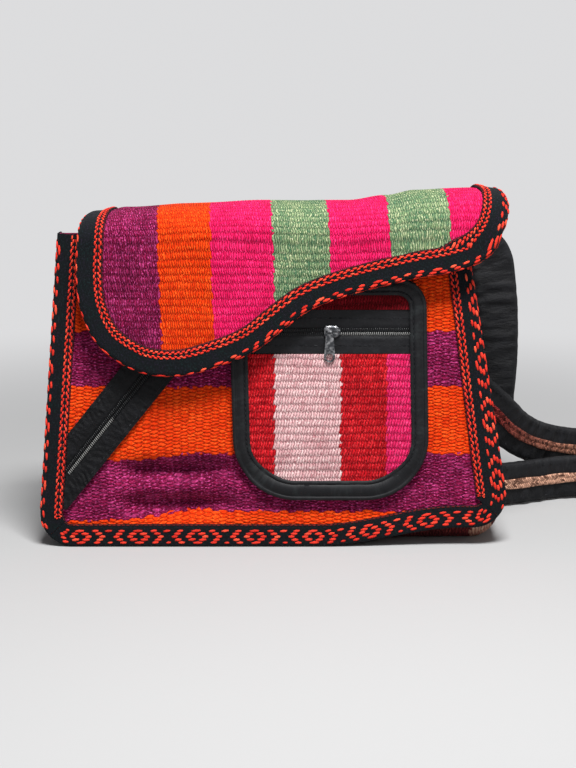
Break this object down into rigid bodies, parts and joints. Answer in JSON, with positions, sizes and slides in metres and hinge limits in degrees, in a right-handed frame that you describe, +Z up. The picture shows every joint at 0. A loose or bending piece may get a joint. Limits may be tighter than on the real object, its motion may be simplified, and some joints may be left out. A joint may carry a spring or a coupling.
{
  "type": "woven flap backpack",
  "caption": "Small backpack of striped handwoven cloth with ribbon-bound edges, a shaped front flap, a zipped patch pocket, a slanting zip pocket and padded shoulder straps.",
  "frame": {"origin": "middle of the base, on the surface that the bag stands on", "axes": "+Z up, -Y out of the front with the flap and pockets, +X to the viewer's right when the front is faced"},
  "size_m": [0.4987, 0.1863, 0.2354],
  "materials": {
    "front_panel": "handwoven wool, ribbed",
    "back_panel": "handwoven wool",
    "gusset": "handwoven wool, striped",
    "mouth_hem": "nylon",
    "left_ribbon": "woven ribbon, coral on black",
    "base_ribbon": "woven ribbon, coral on black",
    "right_ribbon": "woven ribbon, coral on black",
    "back_ribbon": "woven ribbon, coral on black",
    "flap_ribbon": "woven ribbon, coral on black",
    "flap": "handwoven wool, striped and ribbed",
    "pocket_panel": "handwoven wool, striped and ribbed",
    "pocket_top_strip": "handwoven wool, striped and ribbed",
    "pocket_binding": "nylon binding",
    "pocket_tape_upper": "zip tape",
    "pocket_tape_lower": "zip tape",
    "pocket_coil_upper": "nylon coil",
    "pocket_coil_lower": "nylon coil",
    "pocket_slider": "plated metal",
    "pocket_pull": "plated metal",
    "slash_tape_upper": "zip tape and nylon facing",
    "slash_tape_lower": "zip tape and nylon facing",
    "slash_coil_upper": "nylon coil",
    "slash_coil_lower": "nylon coil",
    "slash_slider": "plated metal",
    "slash_pull": "plated metal",
    "left_strap": "padded nylon",
    "right_strap": "padded nylon",
    "left_strap_band": "handwoven band",
    "right_strap_band": "handwoven band"
  },
  "bodies": {
    "bag": {"front_panel": "front_panel", "back_panel": "back_panel", "gusset": "gusset", "mouth_hem": "mouth_hem", "left_ribbon": "left_ribbon", "base_ribbon": "base_ribbon", "right_ribbon": "right_ribbon", "back_ribbon": "back_ribbon", "flap_ribbon": "flap_ribbon", "flap": "flap", "pocket_panel": "pocket_panel", "pocket_top_strip": "pocket_top_strip", "pocket_binding": "pocket_binding", "pocket_tape_upper": "pocket_tape_upper", "pocket_tape_lower": "pocket_tape_lower", "pocket_coil_upper": "pocket_coil_upper", "pocket_coil_lower": "pocket_coil_lower", "slash_tape_upper": "slash_tape_upper", "slash_tape_lower": "slash_tape_lower", "slash_coil_upper": "slash_coil_upper", "slash_coil_lower": "slash_coil_lower", "left_strap": "left_strap", "right_strap": "right_strap", "left_strap_band": "left_strap_band", "right_strap_band": "right_strap_band"},
    "pocket_slider": {"pocket_slider": "pocket_slider"},
    "pocket_pull": {"pocket_pull": "pocket_pull"},
    "slash_slider": {"slash_slider": "slash_slider"},
    "slash_pull": {"slash_pull": "slash_pull"}
  },
  "joints": [
    {"name": "pocket_zip", "type": "slide", "parent": "bag", "child": "pocket_slider", "axis": [1, 0, 0], "range_m": [-0.028, 0.043]},
    {"name": "pocket_pull_swing", "type": "hinge", "parent": "pocket_slider", "child": "pocket_pull", "pos_m": [0.037, -0.03941, 0.1427], "axis": [-1, 0, 0], "range_deg": [0, 85]},
    {"name": "slash_zip", "type": "slide", "parent": "bag", "child": "slash_slider", "axis": [0.6282, 0.0604, 0.7757], "range_m": [-0.098, 0]},
    {"name": "slash_pull_swing", "type": "hinge", "parent": "slash_slider", "child": "slash_pull", "pos_m": [-0.06816, -0.04016, 0.13304], "axis": [-0.6282, -0.0604, -0.7757], "range_deg": [0, 5]}
  ]
}
